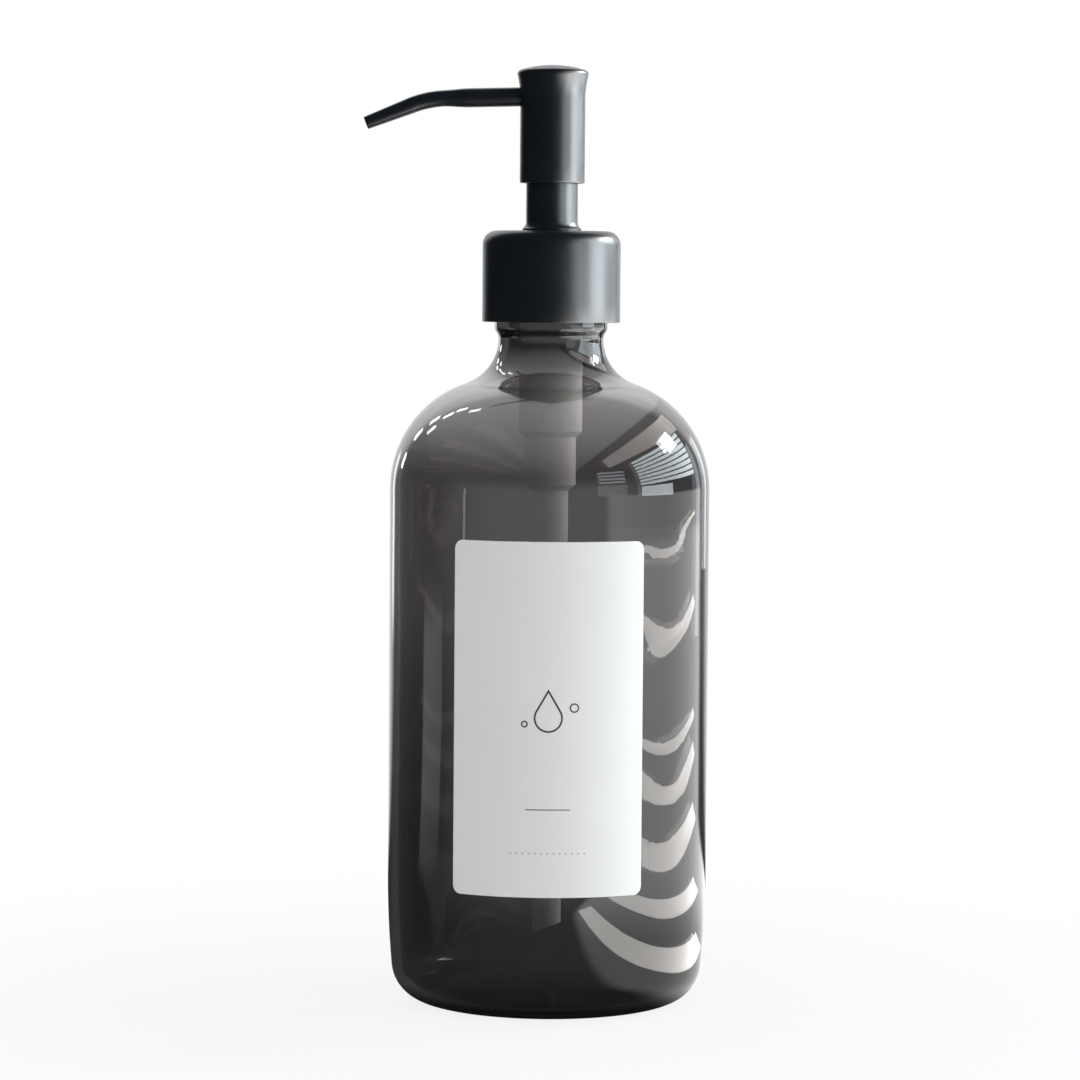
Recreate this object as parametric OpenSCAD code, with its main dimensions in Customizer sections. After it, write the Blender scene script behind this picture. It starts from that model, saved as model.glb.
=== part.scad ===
// Press-down soap dispenser: a glass bottle with a paper label, and a screw-on lotion pump with metal covers.
// Millimetres. The origin is the middle of the base plane on the bottle's axis, +Z is up, the label faces -Y
// and the spout points along -X. Every piece is drawn where it sits at rest.

/* [Bottle] */
// Diameter of the straight body
body_diameter = 75; // [60:0.5:100]
// Height at which the straight body meets the shoulder
body_height = 120.7; // [80:0.1:180]
// Radius of the shoulder in section
shoulder_radius = 26; // [18:0.5:34]
// Radius of the hollow curve between shoulder and neck
neck_fillet = 11.3; // [6:0.1:16]
// Diameter of the neck below the finish
neck_diameter = 24.55; // [22:0.05:30]
// Height of the neck from the end of the hollow curve to the lip
neck_length = 18.5; // [16:0.1:24]
// Thickness of the glass wall
glass_wall = 2.4; // [1.6:0.1:3.2]

/* [Bottle finish] */
// How far the plain wall that carries the thread stands out from the neck
finish_step = 0.325; // [0:0.025:1]
// Height of the thread on that wall, which is left out of the solid
thread_height = 1.1; // [0.8:0.05:1.6]
// How far the bead under the thread stands out from the neck
bead_step = 0.975; // [0.5:0.025:2]
// Height of the bead's full diameter
bead_height = 2.4; // [1:0.1:4]
// Height of the slope from the neck out to the bead
bead_slope = 2.4; // [1:0.1:4]
// Chamfer on the edge of the lip
lip_chamfer = 0.6; // [0.2:0.1:1.2]

/* [Bottle base] */
// Radius of the heel in section
heel_radius = 9; // [5:0.5:14]
// How far the wall draws in above the heel, on the radius
heel_draw = 1; // [0.2:0.1:2]
// Height at which the wall starts to draw in
draw_height = 30; // [20:1:50]
// Width of the flat ring that the bottle stands on
ring_width = 2.5; // [1:0.1:5]
// Rise of the hollow under the base
push_up = 3; // [1:0.1:6]
// Thickness of the glass floor
floor_thickness = 4; // [2:0.1:8]

/* [Label] */
// Width of the label around the bottle
label_width = 45.6; // [20:0.1:70]
// How far the label's upper edge lies below the shoulder
label_drop = 10.2; // [1:0.1:40]
// How far the label's lower edge reaches past the straight wall
label_lap = 0.5; // [0:0.1:1]
// Radius of the label's corners
label_corner = 2; // [0.5:0.1:6]
// Thickness of the label
label_thickness = 0.12; // [0.08:0.01:0.3]
// Thickness of the glue under it
label_glue = 0.02; // [0.01:0.01:0.05]

/* [Cap] */
// Height of the metal cap
cap_height = 21.3; // [18:0.1:28]
// Radius of the cap's top edge
cap_corner = 3.2; // [1.5:0.1:4.5]
// Wall of the metal cap
cap_wall = 0.8; // [0.4:0.05:1.2]
// Thickness of the plastic insert's top plate
insert_plate = 1.4; // [0.8:0.1:2]
// Number of ribs outside the insert
rib_count = 12; // [6:1:24]
// Width of one rib
rib_width = 1.2; // [0.6:0.1:2.4]
// How far the ribs stand out from the skirt
rib_height = 0.47; // [0.3:0.01:1.5]
// Wall of the insert's skirt
insert_wall = 0.9; // [0.6:0.1:1.2]
// How far the insert stands in from the cap's lower edge
insert_lift = 0.7; // [0.2:0.1:2]
// Chamfer on the insert's top edge
insert_chamfer = 0.8; // [0.3:0.1:1.5]

/* [Edges] */
// Chamfer on the open edges of the metal covers
metal_edge = 0.25; // [0.1:0.05:0.4]
// Chamfer that leads one plastic piece into another
lead_in = 0.4; // [0.1:0.05:0.5]

/* [Gasket and housing] */
// Thickness of the gasket
gasket_thickness = 1.2; // [0.8:0.1:2]
// How far the gasket and the housing flange stand in from the bottle's finish
flange_inset = 0.6; // [0.2:0.1:1.2]
// Thickness of the housing flange
flange_thickness = 1.6; // [1:0.1:2.5]
// Wall of the upper barrel
barrel_wall = 1.2; // [0.8:0.1:1.6]
// Bore of the upper barrel
barrel_bore = 12.6; // [11.5:0.1:13.5]
// Length of the upper barrel below the flange
barrel_length = 41.3; // [36:0.1:50]
// Wall of the lower barrel
lower_wall = 1.1; // [0.8:0.1:1.4]
// How far the lower barrel's bore stands in from the upper bore, on the radius
bore_step = 1.35; // [1:0.05:2]
// Length of the lower barrel
lower_length = 12.7; // [10:0.1:18]
// Slope where one barrel steps to the next
barrel_step = 1.4; // [0.6:0.1:2]
// Wall of the tail that grips the dip tube
tail_wall = 0.87; // [0.6:0.01:1.2]
// Length of the tail
tail_length = 21.2; // [12:0.1:28]
// Chamfer on the tail's mouth
tail_chamfer = 0.4; // [0.2:0.1:0.8]
// Height of the spring's seat above the lower barrel's end
seat_rise = 2.3; // [1:0.1:4]
// How far the collar on which the insert turns stands out from the barrel
collar_step = 0.5; // [0.2:0.1:1]
// Diameter of the air hole in the upper barrel
vent_diameter = 0.9; // [0.5:0.1:1.5]

/* [Inlet valve] */
// Diameter of the inlet ball
ball_diameter = 4.8; // [4:0.1:5.2]
// Radial gap between the ball and its chamber
ball_gap = 0.6; // [0.4:0.05:0.8]
// Depth of the ball chamber below the spring seat
chamber_depth = 3.2; // [2.8:0.1:4.2]
// Width of the ball's conical seat, on the radius
seat_width = 1.5; // [1.2:0.1:1.8]
// Height of that seat
seat_height = 1.6; // [1.2:0.1:2]

/* [Dip tube] */
// Outside diameter of the dip tube
tube_diameter = 6.8; // [5:0.1:7.4]
// Wall of the dip tube
tube_wall = 0.8; // [0.5:0.1:1.2]
// Height of the tube's lowest point above the glass floor
tube_gap = 8.4; // [2:0.1:20]
// Rise of the slanting cut across the tube
tube_cut = 2.9; // [0.5:0.1:5]
// Direction of the cut's high side about the axis
tube_turn = -25; // [-180:5:180]
// Gap between the tube's upper end and its stop in the tail
tube_play = 1; // [0.2:0.1:4]

/* [Chaplet] */
// How far the disc that holds the insert down stands out from the collar
disc_step = 1.5; // [1:0.1:2.5]
// Thickness of the disc
chaplet_disc = 1.1; // [0.8:0.1:1.6]
// Length of the plug inside the housing
plug_length = 10.4; // [6:0.1:12]
// Wall of the guide tube around the stem
guide_wall = 1.67; // [1:0.01:1.7]

/* [Neck sleeve] */
// Wall of the sleeve
sleeve_wall = 0.57; // [0.4:0.01:1]
// How far the sleeve's foot stands out from it
foot_step = 0.85; // [0.4:0.05:1.5]
// Height at which the foot's curve ends above the cap
foot_height = 2.1; // [1:0.1:3]
// Radius of the foot's curve in section
foot_curve = 2; // [1.2:0.1:4]

/* [Stem and piston] */
// Outside diameter of the stem
stem_diameter = 7.4; // [6.8:0.1:7.8]
// Wall of the stem
stem_wall = 1.5; // [1.3:0.1:2]
// How far the shoulder that pushes the piston stands out from the stem
ring_step = 1.3; // [0.9:0.1:1.8]
// Thickness of that shoulder
ring_thickness = 1.2; // [0.8:0.1:2]
// Height of the piston
piston_height = 7; // [5:0.1:9]
// Height of each sealing lip on the piston
lip_height = 1.6; // [1:0.1:2.2]
// How far the piston's waist stands in from its lips
waist_depth = 0.7; // [0.3:0.1:1]
// Thickness of a lip at its root
lip_wall = 0.6; // [0.4:0.05:0.8]
// Thickness of a lip at its edge
lip_edge = 0.3; // [0.2:0.05:0.5]
// How far the plunger tip's flange stands out from the stem
tip_step = 1.1; // [0.9:0.1:1.8]
// Thickness of that flange
tip_thickness = 2.3; // [1.5:0.1:3]
// Length of the boss inside the spring
boss_length = 3; // [1:0.1:5]
// Radial gap between that boss and the spring
boss_gap = 0.3; // [0.2:0.05:0.6]
// Length of the tip's plug inside the stem
tip_plug = 4; // [2:0.1:6]
// Length of the tip's neck inside the piston
tip_neck = 1.6; // [1:0.1:3]
// Diameter of the passage in the tip
port_diameter = 2.2; // [1:0.1:2.6]
// Diameter of the side holes that lead into it
side_port = 0.8; // [0.4:0.1:1.2]

/* [Spring] */
// Radial gap between the spring and the lower bore
spring_gap = 0.45; // [0.3:0.05:0.8]
// Diameter of the spring wire
wire_diameter = 0.9; // [0.6:0.05:1.1]
// Number of turns
spring_turns = 8; // [6:1:10]

/* [Head] */
// Stroke of the pump
stroke = 9.5; // [6:0.1:10]
// Gap left between the cap and the head at full stroke
stop_gap = 1.6; // [0.5:0.1:4]
// Gap left between the sleeve and the core at full stroke
core_gap = 0.3; // [0.2:0.1:1]
// Radial gap between the sleeve and the head
head_gap = 0.85; // [0.4:0.05:2]
// Wall of the head
head_wall = 0.7; // [0.4:0.05:1.2]
// How far the head's rim stands out from its straight wall
rim_step = 0.7; // [0.2:0.1:2]
// Radius of the rim's edge in section
rim_edge = 1; // [0.5:0.1:1.4]
// Height of the straight wall
head_straight = 20.3; // [18:0.1:26]
// Height of the flare up to the rim's widest place
head_flare = 5.1; // [3:0.1:8]
// Height of the crown above the rim's widest place
crown_rise = 2.1; // [1.4:0.1:3]
// Thickness of metal over the core
crown_wall = 2.3; // [1.6:0.1:3]
// Height of the plastic core inside the head
core_height = 12.5; // [9.5:0.1:12.6]

/* [Spout] */
// Height of the spout's axis above the head's lower edge
spout_height = 20.25; // [18:0.05:24]
// Outside diameter of the spout
spout_diameter = 4.6; // [3.6:0.1:5]
// How much less the spout's radius is in the bend
bend_step = 0.325; // [0:0.025:0.6]
// How much less again it is at the tip
taper_step = 0.45; // [0:0.025:0.6]
// Wall of the spout
spout_wall = 0.6; // [0.4:0.05:1]
// Slope of the straight run, in degrees downward
spout_tilt = 1.5; // [0:0.1:5]
// Length of the straight run from the axis to the place where it narrows
spout_run = 20.6; // [16:0.1:40]
// Length over which it narrows to the bend
spout_neck = 4; // [2:0.1:8]
// Radius of the bend along the spout's axis
bend_radius = 24.5; // [10:0.1:40]
// Angle of the bend
bend_angle = 20; // [5:0.5:60]
// Length of the tapered end after the bend
spout_end = 11.5; // [4:0.1:25]
// Distance from the axis at which the spout starts inside the core
spout_start = 4.2; // [3.8:0.1:5]

/* [Fits] */
// Radial gap between pieces that are pressed together
press_gap = 0.03; // [0.01:0.01:0.1]
// Radial gap between pieces that slide or turn
run_gap = 0.05; // [0.02:0.01:0.1]
// Gap above and below pieces that turn
turn_gap = 0.1; // [0.05:0.05:0.3]
// Gap between the thread and the insert
thread_gap = 0.25; // [0.1:0.05:0.5]

/* [Hidden] */
$fn = 96;
// overlap that keeps a cut from ending on a face
over = 0.5;
// step that keeps the faces of two joined rods from coinciding
seam = 0.02;
body_r = body_diameter / 2;
neck_r = neck_diameter / 2;
finish_r = neck_r + finish_step;
bead_r = neck_r + bead_step;
// the hollow curve's centre, so that it is tangent to the neck and to the shoulder
shoulder_x = body_r - shoulder_radius;
fillet_x = neck_r + neck_fillet;
fillet_z = body_height
    + sqrt(pow(shoulder_radius + neck_fillet, 2) - pow(fillet_x - shoulder_x, 2));
lip_z = fillet_z + neck_length;
heel_x = body_r - heel_draw - heel_radius;
ring_inner = heel_x - ring_width;
// the hollow under the base is part of a sphere through the standing ring
dome_r = (pow(ring_inner, 2) + pow(push_up, 2)) / (2 * push_up);
floor_z = push_up + floor_thickness;
label_low = draw_height - label_lap;
label_height = body_height - label_drop - label_low;

// stack above the lip
flange_z = lip_z + gasket_thickness;
flange_top = flange_z + flange_thickness;
plate_z = flange_top + turn_gap;
collar_top = plate_z + insert_plate + turn_gap;
disc_top = collar_top + chaplet_disc;
cap_top = disc_top + 2 * turn_gap + cap_wall;
cap_bottom = cap_top - cap_height;
insert_inner = finish_r + thread_height + thread_gap;
insert_outer = insert_inner + insert_wall;
rib_r = insert_outer + rib_height;
cap_inner = rib_r + press_gap;
cap_r = cap_inner + cap_wall;

// stack below the lip
flange_r = finish_r - flange_inset;
bore_r = barrel_bore / 2;
barrel_r = bore_r + barrel_wall;
collar_r = barrel_r + collar_step;
lower_bore_r = bore_r - bore_step;
lower_r = lower_bore_r + lower_wall;
lower_top = flange_z - barrel_length;
lower_bottom = lower_top - lower_length;
tube_r = tube_diameter / 2;
tail_bore_r = tube_r + press_gap;
tail_r = tail_bore_r + tail_wall;
tail_bottom = lower_bottom - tail_length;
// the spring stands on the ledge over the ball chamber
spring_seat = lower_bottom + seat_rise;
ball_r = ball_diameter / 2;
chamber_r = ball_r + ball_gap;
seat_top = spring_seat - chamber_depth;
seat_bottom = seat_top - seat_height;
inlet_r = chamber_r - seat_width;
// the ball touches its conical seat
seat_slant = sqrt(pow(seat_width, 2) + pow(seat_height, 2));
ball_z = seat_bottom + (ball_r * seat_slant - inlet_r * seat_height) / seat_width;
tube_stop = seat_bottom - barrel_step / 2;
tube_top = tube_stop - tube_play;
tube_end = floor_z + tube_gap;
spring_r = lower_bore_r - spring_gap;

// moving pieces
stem_r = stem_diameter / 2;
stem_bore_r = stem_r - stem_wall;
guide_bore = stem_r + run_gap + press_gap;
guide_r = guide_bore + guide_wall;
sleeve_inner = guide_r + press_gap;
sleeve_r = sleeve_inner + sleeve_wall;
foot_r = sleeve_r + foot_step;
plug_bottom = collar_top - plug_length;
ring_top = plug_bottom - 2 * turn_gap;
piston_top = ring_top - ring_thickness - turn_gap;
piston_bottom = piston_top - piston_height;
flange_tip_top = piston_bottom - turn_gap;
spring_top = flange_tip_top - tip_thickness;
stem_bottom = flange_tip_top + tip_neck;

head_bottom = cap_top + stroke + stop_gap;
head_inner = sleeve_r + head_gap;
head_r = head_inner + head_wall;
rim_r = head_r + rim_step;
flare_z = head_bottom + head_straight;
rim_z = flare_z + head_flare;
crown_z = rim_z + crown_rise;
rim_x = rim_r - rim_edge;
// the crown is part of a sphere that is tangent to the rim's edge
crown_r = (pow(rim_x, 2) + pow(crown_rise, 2) - pow(rim_edge, 2)) / (2 * (crown_rise - rim_edge));
crown_angle = asin(rim_x / (crown_r - rim_edge));
core_top = crown_z - crown_wall;
core_bottom = core_top - core_height;
spout_z = head_bottom + spout_height;
spout_r = spout_diameter / 2;
spout_bore = spout_r - spout_wall;
bend_r = spout_r - bend_step;
tip_r = bend_r - taper_step;
stem_top = spout_z - spout_r - press_gap;
sleeve_top = core_bottom - stroke - core_gap;
foot_z = cap_top + run_gap;

metal = [0.055, 0.065, 0.068];
milky = [0.88, 0.89, 0.88, 0.6];
natural = [0.93, 0.93, 0.92];
steel = [0.72, 0.73, 0.74];
smoke = [0.32, 0.34, 0.34, 0.45];
paper = [0.93, 0.94, 0.94];
seal = [0.85, 0.86, 0.86];

// Point at which a line from p touches the circle about c, on the side away from the bottle's axis:
// side is -1 for a line from above and 1 for a line from below
function touch(p, c, r, side) =
    let (d = p - c, turn = atan2(d[1], d[0]) + side * acos(r / norm(d)))
    c + r * [cos(turn), sin(turn)];

// Flat ring or tube standing on z = bottom
module tube(outer, inner, bottom, top) {
    rotate_extrude()
        translate([inner, bottom])
            square([outer - inner, top - bottom]);
}

// Half section of the bottle up to the lip, drawn in by inset on every face
module bottle_half(inset, top) {
    heel = heel_radius - inset;
    wall_foot = [body_r - inset, draw_height];
    heel_mid = [heel_x, heel_radius];
    heel_touch = touch(wall_foot, heel_mid, heel, -1);
    bend = shoulder_radius - inset;
    hollow = neck_fillet + inset;
    slope = [fillet_x - shoulder_x, fillet_z - body_height];
    meet = [shoulder_x, body_height] + slope * bend / norm(slope);
    polygon([
        [0, inset], [heel_x, inset], heel_mid, heel_touch, wall_foot,
        [body_r - inset, body_height], [0, body_height],
    ]);
    translate(heel_mid)
        circle(r = heel);
    intersection() {
        translate([shoulder_x, body_height])
            circle(r = bend);
        square([body_diameter, body_height + bend + over]);
    }
    difference() {
        polygon([[0, body_height], [shoulder_x, body_height], meet, [fillet_x, fillet_z],
            [neck_r - inset, fillet_z], [0, fillet_z]]);
        translate([fillet_x, fillet_z])
            circle(r = hollow);
    }
    translate([0, body_height])
        square([neck_r - inset, top - body_height]);
}

// Bead and plain threaded wall above the neck
module finish_half() {
    polygon([
        [0, fillet_z], [neck_r, fillet_z], [bead_r, fillet_z + bead_slope],
        [bead_r, fillet_z + bead_slope + bead_height],
        [finish_r, fillet_z + bead_slope + bead_height + bead_r - finish_r],
        [finish_r, lip_z - lip_chamfer], [finish_r - lip_chamfer, lip_z], [0, lip_z],
    ]);
}

module bottle() {
    color(smoke)
        rotate_extrude()
            difference() {
                union() {
                    bottle_half(0, fillet_z + over);
                    finish_half();
                }
                translate([0, push_up - dome_r])
                    circle(r = dome_r);
                difference() {
                    bottle_half(glass_wall, lip_z + over);
                    translate([0, push_up - dome_r])
                        circle(r = dome_r + floor_thickness);
                }
            }
}

// Flat outline of the label in its own plane
module label_outline() {
    half = body_r * sin(label_width / body_diameter * 180 / PI);
    x = half - label_corner;
    z = label_height / 2 - label_corner;
    square([2 * half, 2 * z], center = true);
    square([2 * x, label_height], center = true);
    for (side = [-1, 1], end = [-1, 1])
        translate([side * x, end * z])
            circle(r = label_corner);
}

module label() {
    inner = body_r + label_glue;
    color(paper)
        intersection() {
            tube(inner + label_thickness, inner, label_low - over, label_low + label_height + over);
            translate([0, 0, label_low + label_height / 2])
                rotate([90, 0, 0])
                    linear_extrude(body_diameter)
                        label_outline();
        }
}

// Half section of a round mouth that opens downward with a chamfer
module mouth(radius, bottom, edge) {
    polygon([
        [0, bottom - over], [radius + edge + over, bottom - over], [radius, bottom + edge],
        [0, bottom + edge],
    ]);
}

// Half section of a round cap with a rounded top edge and a chamfered lower edge
module cap_half(radius, corner, bottom, top, edge) {
    polygon([
        [0, bottom], [radius - edge, bottom], [radius, bottom + edge], [radius, top - corner],
        [0, top - corner],
    ]);
    translate([0, bottom])
        square([radius - corner, top - bottom]);
    translate([radius - corner, top - corner])
        circle(r = corner);
}

module cap_shell() {
    color(metal)
        rotate_extrude()
            difference() {
                cap_half(cap_r, cap_corner, cap_bottom, cap_top, metal_edge);
                cap_half(cap_inner, cap_corner - cap_wall, cap_bottom - over, cap_top - cap_wall, 0);
                mouth(cap_inner, cap_bottom, metal_edge);
                square([guide_r + 4 * run_gap, cap_top + over]);
            }
}

module cap_insert() {
    plate_top = plate_z + insert_plate;
    low = cap_bottom + insert_lift;
    rib_top = cap_top - cap_corner - insert_chamfer;
    color(natural) {
        difference() {
            union() {
                rotate_extrude()
                    polygon([
                        [0, low], [insert_outer, low], [insert_outer, plate_top - insert_chamfer],
                        [insert_outer - insert_chamfer, plate_top], [0, plate_top],
                    ]);
                intersection() {
                    for (i = [0:rib_count - 1])
                        rotate([0, 0, (i + 0.5) * 360 / rib_count])
                            translate([0, -rib_width / 2, low])
                                cube([cap_r, rib_width, rib_top - low]);
                    cylinder(r = rib_r, h = cap_top);
                }
            }
            cylinder(r = insert_inner, h = plate_z);
            cylinder(r = collar_r + 2 * turn_gap, h = cap_top);
        }
    }
}

module gasket() {
    color(seal)
        tube(flange_r, barrel_r + 2 * turn_gap, lip_z, flange_z);
}

module housing() {
    color(milky)
        difference() {
            rotate_extrude()
                difference() {
                    polygon([
                        [0, tail_bottom], [tail_r - tail_chamfer, tail_bottom],
                        [tail_r, tail_bottom + tail_chamfer],
                        [tail_r, lower_bottom - barrel_step], [lower_r, lower_bottom],
                        [lower_r, lower_top - barrel_step], [barrel_r, lower_top],
                        [barrel_r, flange_z], [flange_r, flange_z], [flange_r, flange_top],
                        [collar_r, flange_top], [collar_r, collar_top - lead_in],
                        [collar_r - lead_in, collar_top], [0, collar_top],
                    ]);
                    polygon([
                        [0, tail_bottom - over], [tail_bore_r, tail_bottom - over],
                        [tail_bore_r, tube_stop], [inlet_r, tube_stop],
                        [inlet_r, seat_bottom], [chamber_r, seat_top], [chamber_r, spring_seat],
                        [lower_bore_r, spring_seat], [lower_bore_r, lower_top],
                        [bore_r, lower_top + barrel_step], [bore_r, collar_top + over],
                        [0, collar_top + over],
                    ]);
                }
            translate([0, 0, (piston_top + piston_bottom) / 2])
                rotate([0, 90, 0])
                    cylinder(d = vent_diameter, h = 2 * barrel_r);
        }
}

module chaplet() {
    plug_r = bore_r - press_gap;
    disc_r = collar_r + disc_step;
    color(natural)
        rotate_extrude()
            difference() {
                polygon([
                    [0, plug_bottom], [plug_r - lead_in, plug_bottom],
                    [plug_r, plug_bottom + lead_in], [plug_r, collar_top], [disc_r, collar_top],
                    [disc_r, disc_top - lead_in], [disc_r - lead_in, disc_top], [guide_r, disc_top],
                    [guide_r, sleeve_top - lead_in], [guide_r - lead_in, sleeve_top],
                    [0, sleeve_top],
                ]);
                square([guide_bore, sleeve_top + over]);
            }
}

module neck_sleeve() {
    color(metal)
        rotate_extrude() {
            polygon([
                [sleeve_inner, foot_z], [sleeve_r, foot_z], [sleeve_r, sleeve_top - metal_edge],
                [sleeve_r - metal_edge, sleeve_top], [sleeve_inner, sleeve_top],
            ]);
            difference() {
                translate([sleeve_inner, foot_z])
                    square([foot_r - sleeve_inner, foot_height]);
                translate([sleeve_r + foot_curve, foot_z + foot_height])
                    circle(r = foot_curve);
            }
        }
}

module dip_tube() {
    slant = atan2(tube_cut, tube_diameter);
    color(milky)
        difference() {
            tube(tube_r, tube_r - tube_wall, tube_end - over, tube_top);
            rotate([0, 0, tube_turn])
                translate([0, 0, tube_end + tube_cut / 2])
                    rotate([0, -slant, 0])
                        translate([-tube_diameter, -tube_diameter, -2 * tube_diameter])
                            cube(2 * tube_diameter);
        }
}

module inlet_ball() {
    color(steel)
        translate([0, 0, ball_z])
            sphere(r = ball_r);
}

// Points of a round wire wound about the axis, one ring of points after another
function coil_ring(t, steps, around, coil_r, wire_r, low, rise) =
    let (turn = 360 * spring_turns * t / steps, z = low + rise * t / steps)
    [for (k = [0:around - 1])
        let (a = 360 * k / around, r = coil_r + wire_r * cos(a))
        [r * cos(turn), r * sin(turn), z + wire_r * sin(a)]];

module spring() {
    around = 8;
    steps = 20 * spring_turns;
    wire_r = wire_diameter / 2;
    coil_r = spring_r - wire_r;
    low = spring_seat + wire_r;
    rise = spring_top - spring_seat - wire_diameter;
    points = [for (t = [0:steps]) each coil_ring(t, steps, around, coil_r, wire_r, low, rise)];
    side = [for (t = [0:steps - 1], k = [0:around - 1])
        let (a = t * around + k, b = t * around + (k + 1) % around)
        [b, b + around, a + around, a]];
    ends = [[for (k = [1:around]) around - k], [for (k = [0:around - 1]) steps * around + k]];
    color(steel)
        polyhedron(points = points, faces = concat(side, ends));
}

module piston() {
    r = bore_r - run_gap;
    // the stem's shoulder and the tip's flange both press on the hub
    hub_r = stem_r + max(ring_step, tip_step);
    color(natural)
        rotate_extrude()
            polygon([
                [stem_r + run_gap, piston_bottom], [hub_r, piston_bottom],
                [hub_r, piston_bottom + lip_height], [r - lip_wall, piston_bottom + lip_height],
                [r - lip_edge, piston_bottom], [r, piston_bottom], [r, piston_bottom + lip_height],
                [r - waist_depth, piston_bottom + lip_height + waist_depth],
                [r - waist_depth, piston_top - lip_height - waist_depth], [r, piston_top - lip_height],
                [r, piston_top], [r - lip_edge, piston_top], [r - lip_wall, piston_top - lip_height],
                [hub_r, piston_top - lip_height], [hub_r, piston_top], [stem_r + run_gap, piston_top],
            ]);
}

module plunger_tip() {
    boss_r = spring_r - wire_diameter - boss_gap;
    flange_tip_r = stem_r + tip_step;
    plug_r = stem_bore_r - press_gap;
    color(natural)
        difference() {
            rotate_extrude()
                polygon([
                    [0, spring_top - boss_length], [boss_r - lead_in, spring_top - boss_length],
                    [boss_r, spring_top - boss_length + lead_in],
                    [boss_r, spring_top], [flange_tip_r, spring_top],
                    [flange_tip_r, flange_tip_top], [stem_r, flange_tip_top],
                    [stem_r, stem_bottom], [plug_r, stem_bottom],
                    [plug_r, stem_bottom + tip_plug - lead_in],
                    [plug_r - lead_in, stem_bottom + tip_plug], [0, stem_bottom + tip_plug],
                ]);
            translate([0, 0, flange_tip_top + tip_neck / 2])
                cylinder(d = port_diameter, h = tip_neck + tip_plug);
            translate([-stem_diameter, 0, flange_tip_top + tip_neck / 2])
                rotate([0, 90, 0])
                    cylinder(d = side_port, h = 2 * stem_diameter);
        }
}

module stem() {
    ring_r = stem_r + ring_step;
    color(natural)
        rotate_extrude()
            difference() {
                polygon([
                    [0, stem_bottom], [stem_r, stem_bottom], [stem_r, ring_top - ring_thickness],
                    [ring_r, ring_top - ring_thickness], [ring_r, ring_top - lead_in],
                    [ring_r - lead_in, ring_top], [stem_r, ring_top], [stem_r, stem_top - lead_in],
                    [stem_r - lead_in, stem_top], [0, stem_top],
                ]);
                translate([0, stem_bottom - over])
                    square([stem_bore_r, stem_top - stem_bottom + 2 * over]);
            }
}

// Everything about the spout is drawn along -X from the axis and then tilted about the place it leaves
module along_spout() {
    translate([0, 0, spout_z])
        rotate([0, -spout_tilt, 0])
            rotate([0, -90, 0])
                children();
}

module head_core() {
    core_r = head_inner - press_gap;
    color(natural)
        difference() {
            rotate_extrude()
                polygon([
                    [0, core_bottom], [core_r - lead_in, core_bottom], [core_r, core_bottom + lead_in],
                    [core_r, core_top - lead_in], [core_r - lead_in, core_top], [0, core_top],
                ]);
            translate([0, 0, core_bottom - over])
                cylinder(r = stem_r + press_gap, h = stem_top - core_bottom + over);
            translate([0, 0, core_bottom])
                cylinder(r = spout_bore, h = spout_z - core_bottom);
            along_spout()
                translate([0, 0, spout_start])
                    cylinder(r = spout_r + press_gap, h = 2 * head_r);
            along_spout()
                cylinder(r = spout_bore, h = 2 * head_r);
        }
}

// Half section of the head's metal cover
module head_half() {
    rim_mid = [rim_x, rim_z];
    flare_foot = [head_r, flare_z];
    polygon([
        [0, head_bottom], [head_r - metal_edge, head_bottom], [head_r, head_bottom + metal_edge],
        flare_foot, touch(flare_foot, rim_mid, rim_edge, 1),
        rim_mid, [0, rim_z],
    ]);
    translate(rim_mid)
        circle(r = rim_edge);
    intersection() {
        translate([0, crown_z - crown_r])
            circle(r = crown_r);
        translate([0, rim_z])
            square([rim_x + rim_edge * sin(crown_angle), crown_rise + over]);
    }
}

module head_shell() {
    color(metal)
        difference() {
            rotate_extrude()
                difference() {
                    head_half();
                    square([head_inner, core_top]);
                    mouth(head_inner, head_bottom, metal_edge);
                }
            along_spout()
                cylinder(r = spout_r + press_gap, h = 2 * head_r);
        }
}

// Solid rod in the shape of the spout, thinner than it by inset, and longer at both ends by extra
module spout_rod(inset, extra) {
    translate([0, 0, spout_start - extra])
        cylinder(r = spout_r - inset, h = spout_run - spout_start + extra);
    translate([0, 0, spout_run])
        cylinder(r1 = spout_r - inset, r2 = bend_r - inset, h = spout_neck);
    translate([-bend_radius, 0, spout_run + spout_neck]) {
        rotate([90, 0, 0])
            rotate_extrude(angle = bend_angle)
                translate([bend_radius, 0])
                    circle(r = bend_r - inset);
        rotate([0, -bend_angle, 0])
            translate([bend_radius, 0, -over]) {
                cylinder(r1 = bend_r - inset - seam, r2 = tip_r - inset, h = spout_end + over);
                if (extra > 0)
                    translate([0, 0, spout_end + over])
                        cylinder(r = tip_r - inset, h = extra);
            }
    }
}

module spout() {
    color(metal)
        along_spout()
            difference() {
                spout_rod(0, 0);
                spout_rod(spout_wall, over);
            }
}

bottle();
label();
cap_shell();
cap_insert();
gasket();
housing();
chaplet();
neck_sleeve();
dip_tube();
inlet_ball();
spring();
piston();
plunger_tip();
stem();
head_core();
head_shell();
spout();
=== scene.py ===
"""Models a round glass soap dispenser with a metal covered pump around its CAD frame."""

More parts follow.
